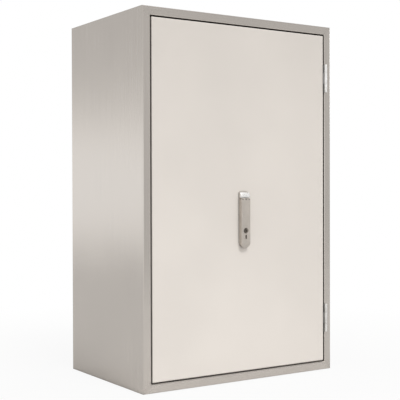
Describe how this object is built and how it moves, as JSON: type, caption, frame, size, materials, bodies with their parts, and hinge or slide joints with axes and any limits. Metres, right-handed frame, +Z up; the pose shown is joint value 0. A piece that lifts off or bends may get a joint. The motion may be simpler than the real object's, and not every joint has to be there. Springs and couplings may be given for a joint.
{
  "type": "steel wall enclosure",
  "caption": "Wall-mounted steel enclosure with an inset hinged door, a swing handle with a profile cylinder, and rods that lock the door behind its frame.",
  "frame": {"origin": "centre of the four wall-fixing holes on the outside of the rear panel, at half height and half width", "axes": "+Z up, +Y towards the wall, so the door faces -Y, +X to the right seen from the front"},
  "size_m": [0.6, 0.4136, 0.95],
  "materials": {
    "stainless_steel": "fine vertical brushing, satin",
    "door_paint": "warm light grey powder coat, fine texture",
    "zinc_plated_steel": "bright zinc plating",
    "galvanised_sheet": "galvanised sheet",
    "bright_steel": "polished",
    "handle_grey": "satin silver grey coating on a zinc casting",
    "cast_zinc": "bare casting",
    "cylinder_nickel": "satin nickel plate",
    "pinion_brass": "machined",
    "rack_steel": "sintered steel, oiled",
    "gasket_foam": "closed cell foam",
    "guide_plastic": "glass filled nylon",
    "earth_brass": "plain"
  },
  "bodies": {
    "cabinet": {"left_side_panel": "stainless_steel", "right_side_panel": "stainless_steel", "top_panel": "stainless_steel", "bottom_panel": "stainless_steel", "rear_panel": "stainless_steel", "upper_hinge_frame_leaf": "bright_steel", "lower_hinge_frame_leaf": "bright_steel", "upper_hinge_pin": "bright_steel", "lower_hinge_pin": "bright_steel", "mounting_plate": "galvanised_sheet", "plate_studs": "zinc_plated_steel", "plate_spacers": "zinc_plated_steel", "plate_nuts": "zinc_plated_steel", "gland_plate": "stainless_steel", "gland_gasket": "gasket_foam", "gland_studs": "zinc_plated_steel", "gland_nuts": "zinc_plated_steel", "cabinet_earth_stud": "earth_brass"},
    "door": {"door_panel": "door_paint", "door_gasket": "gasket_foam", "left_door_rail": "galvanised_sheet", "right_door_rail": "galvanised_sheet", "upper_hinge_door_leaf": "bright_steel", "lower_hinge_door_leaf": "bright_steel", "door_earth_stud": "earth_brass", "handle_gasket": "gasket_foam", "handle_base": "handle_grey", "handle_screws": "zinc_plated_steel", "lock_cylinder": "cylinder_nickel", "cylinder_screw": "zinc_plated_steel", "lock_standoffs": "zinc_plated_steel", "lock_case": "cast_zinc", "lock_case_cover": "zinc_plated_steel", "lock_screws": "zinc_plated_steel", "upper_rod_guide": "guide_plastic", "lower_rod_guide": "guide_plastic", "side_rod_guide": "guide_plastic", "guide_studs": "zinc_plated_steel", "guide_nuts": "zinc_plated_steel"},
    "rotor": {"handle_rotor": "bright_steel", "rotor_clip": "rack_steel", "square_spindle": "zinc_plated_steel", "lock_pinion": "pinion_brass"},
    "lever": {"handle_lever": "handle_grey", "lever_pin": "bright_steel", "lever_grub_screws": "rack_steel"},
    "plug": {"lock_plug": "cylinder_nickel"},
    "upper_bolt": {"upper_rack": "rack_steel", "upper_rod": "zinc_plated_steel", "upper_rod_tip": "guide_plastic"},
    "lower_bolt": {"lower_rack": "rack_steel", "lower_rod": "zinc_plated_steel", "lower_rod_tip": "guide_plastic"},
    "side_bolt": {"side_rack": "rack_steel", "side_rod": "zinc_plated_steel", "side_rod_tip": "guide_plastic"}
  },
  "joints": [
    {"name": "door_hinge", "type": "hinge", "parent": "cabinet", "child": "door", "pos_m": [0.28, -0.404, 0], "axis": [0, 0, 1], "range_deg": [0, 120]},
    {"name": "handle_turn", "type": "hinge", "parent": "door", "child": "rotor", "pos_m": [0, -0.4, 0], "axis": [0, 1, 0], "range_deg": [0, 90]},
    {"name": "handle_lift", "type": "hinge", "parent": "rotor", "child": "lever", "pos_m": [0, -0.40935, 0], "axis": [-1, 0, 0], "range_deg": [0, 35]},
    {"name": "key_turn", "type": "hinge", "parent": "door", "child": "plug", "pos_m": [0, -0.4, -0.082], "axis": [0, -1, 0], "range_deg": [0, 90]},
    {"name": "upper_rod_slide", "type": "slide", "parent": "door", "child": "upper_bolt", "axis": [0, 0, -1], "range_m": [0, 0.0201]},
    {"name": "lower_rod_slide", "type": "slide", "parent": "door", "child": "lower_bolt", "axis": [0, 0, 1], "range_m": [0, 0.0201]},
    {"name": "side_rod_slide", "type": "slide", "parent": "door", "child": "side_bolt", "axis": [1, 0, 0], "range_m": [0, 0.0201]}
  ],
  "couplings": [
    {"joint": "upper_rod_slide", "follows": "handle_turn", "m_per_rad": 0.01275},
    {"joint": "lower_rod_slide", "follows": "handle_turn", "m_per_rad": 0.01275},
    {"joint": "side_rod_slide", "follows": "handle_turn", "m_per_rad": 0.01275}
  ]
}
